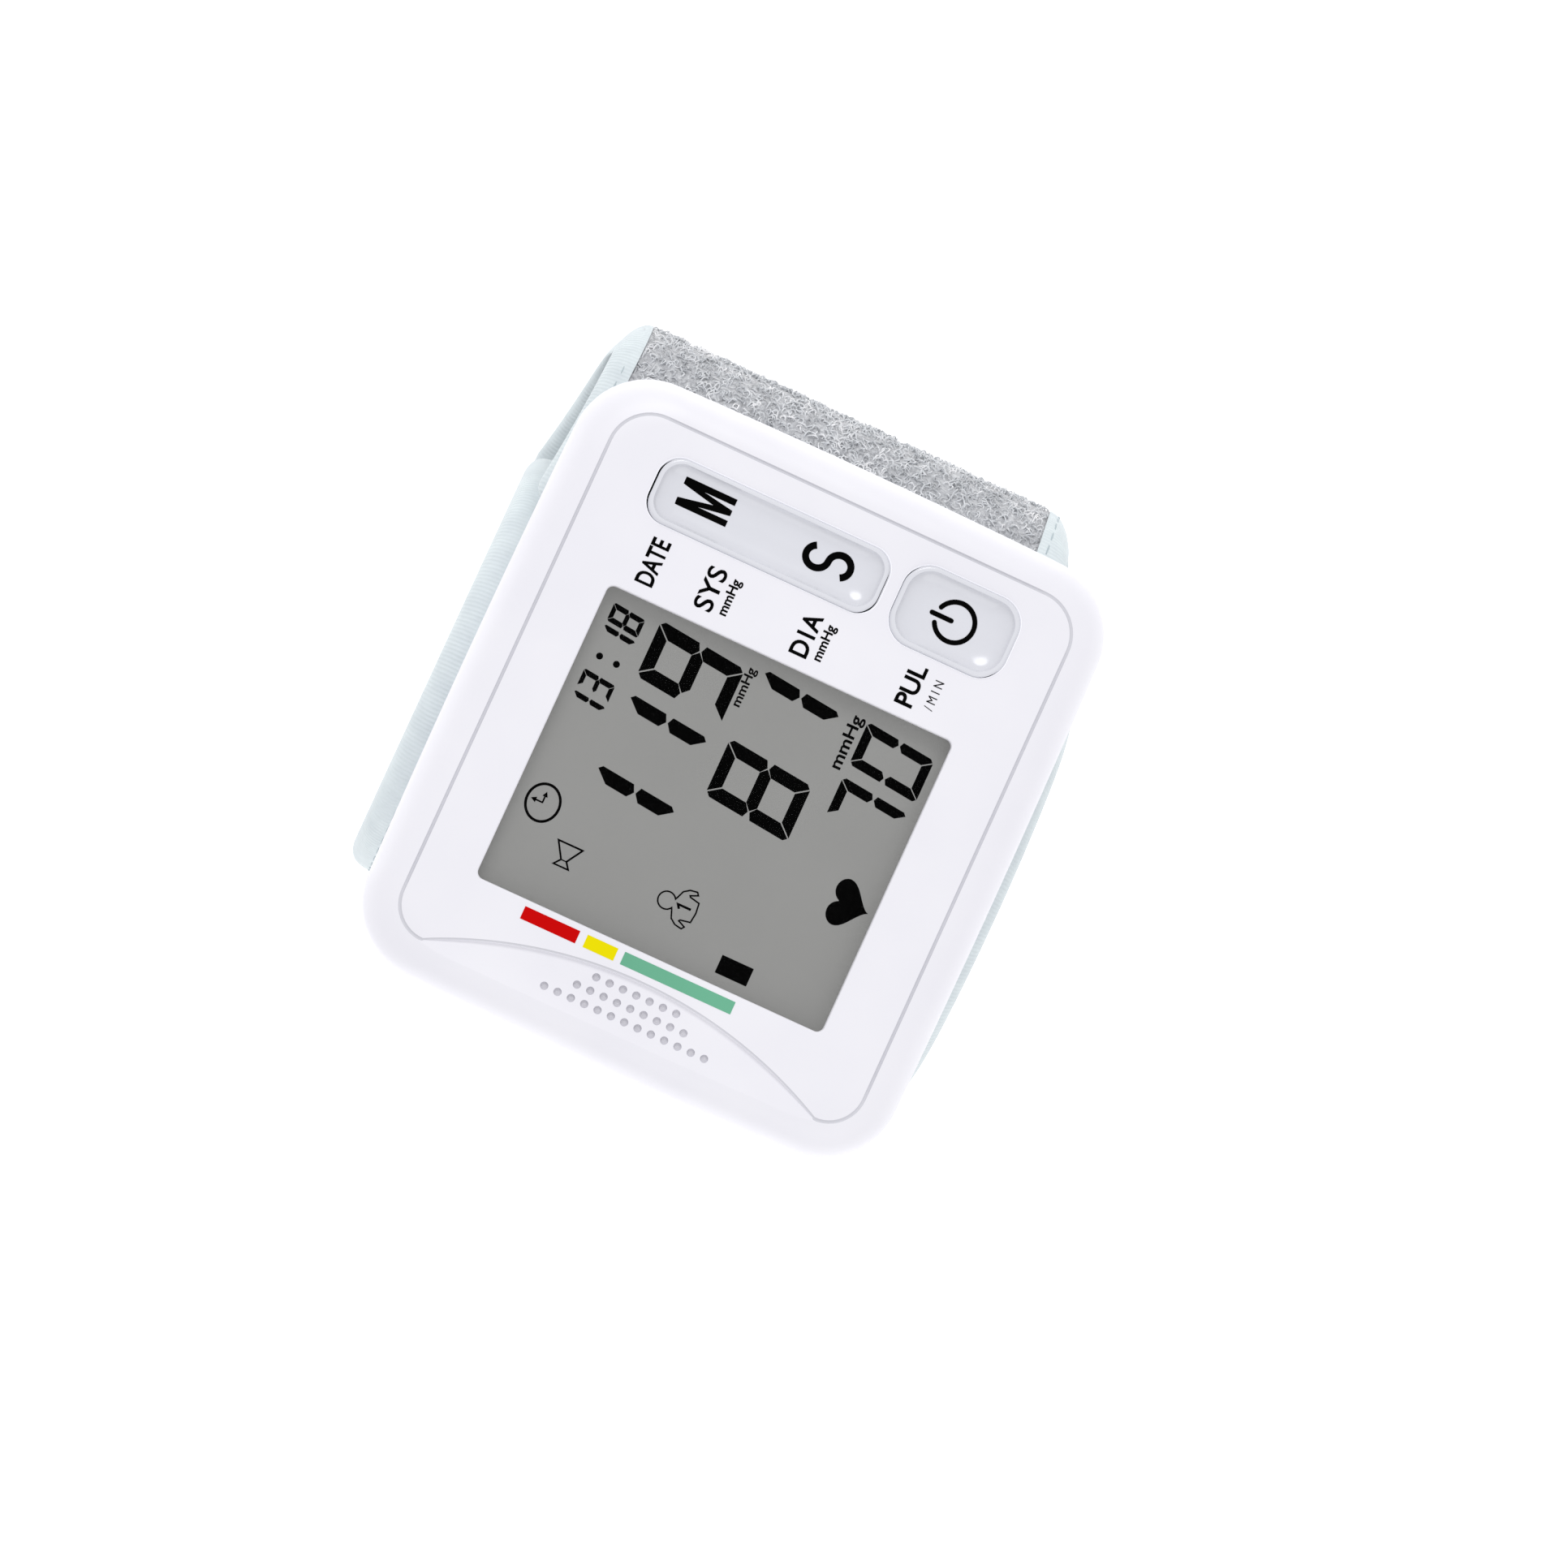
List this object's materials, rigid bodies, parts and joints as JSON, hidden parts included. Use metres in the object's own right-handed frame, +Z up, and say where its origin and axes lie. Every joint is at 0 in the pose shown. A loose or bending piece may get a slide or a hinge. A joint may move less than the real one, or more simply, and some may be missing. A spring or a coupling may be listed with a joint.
{
  "type": "wrist blood pressure monitor",
  "caption": "White wrist blood pressure monitor with a large display, rocker and power keys, and a fabric cuff closed by an outer flap.",
  "frame": {"origin": "on the flat of the cuff that the monitor stands on, below the middle of the case", "axes": "+X to the right of the display, +Y to the top of the display, +Z up out of the display"},
  "size_m": [0.0885, 0.076, 0.0771],
  "materials": {
    "case_white": "satin moulded ABS",
    "key_grey": "glossy translucent moulding",
    "lens_clear": "clear polished acrylic",
    "display_grey": "liquid crystal glass behind a polariser",
    "board_green": "solder mask",
    "black_plastic": "moulded",
    "light_plastic": "moulded",
    "steel": "zinc plated",
    "nickel": "nickel plated",
    "cell_jacket": "printed film jacket",
    "silicone": "soft silicone",
    "zebra_rubber": "conductive rubber",
    "bladder_film": "welded film",
    "grey_loop": "brushed loop fabric",
    "pale_tape": "ribbed binding tape",
    "lining_cloth": "smooth knit",
    "hook_nylon": "moulded nylon hooks"
  },
  "bodies": {
    "monitor": {"front_shell": "case_white", "rear_shell": "case_white", "window_lens": "lens_clear", "lcd_panel": "display_grey", "lcd_holder": "light_plastic", "zebra_strip": "zebra_rubber", "main_board": "board_green", "controller_chip": "black_plastic", "key_pivot_pin": "steel", "memory_switch": "black_plastic", "set_switch": "black_plastic", "power_switch": "black_plastic", "speaker": "black_plastic", "pump_motor": "steel", "pump_head": "black_plastic", "release_valve": "nickel", "pressure_sensor": "black_plastic", "air_manifold": "silicone", "air_nozzle": "light_plastic", "battery_1": "cell_jacket", "battery_2": "cell_jacket", "positive_contact": "nickel", "negative_contact": "nickel", "bridge_contact": "nickel", "case_screw_1": "steel", "case_screw_2": "steel", "case_screw_3": "steel", "case_screw_4": "steel", "cuff_retainer": "light_plastic", "cuff_outer_fabric": "grey_loop", "cuff_curler": "light_plastic", "cuff_bladder": "bladder_film", "cuff_lining": "lining_cloth", "cuff_binding": "pale_tape"},
    "memory_set": {"memory_set_key": "key_grey"},
    "power": {"power_key": "key_grey"},
    "door": {"battery_door": "case_white"},
    "flap": {"flap_outer_fabric": "grey_loop", "flap_lining": "lining_cloth", "flap_binding": "pale_tape", "hook_patch": "hook_nylon"}
  },
  "joints": [
    {"name": "memory_set_rock", "type": "hinge", "parent": "monitor", "child": "memory_set", "pos_m": [0.02675, 0.0082, 0.073], "axis": [1, 0, 0], "range_deg": [-3.5, 3.5], "stiffness_Nm_per_rad": 0.03},
    {"name": "power_press", "type": "slide", "parent": "monitor", "child": "power", "axis": [0, 0, -1], "range_m": [0, 0.0006], "stiffness_N_per_m": 300, "springref_m": -0.0003},
    {"name": "door_slide", "type": "slide", "parent": "monitor", "child": "door", "axis": [-1, 0, 0], "range_m": [0, 0.02]},
    {"name": "flap_open", "type": "hinge", "parent": "monitor", "child": "flap", "pos_m": [0.031, 0, 0.008], "axis": [0, 1, 0], "range_deg": [0, 60]}
  ]
}
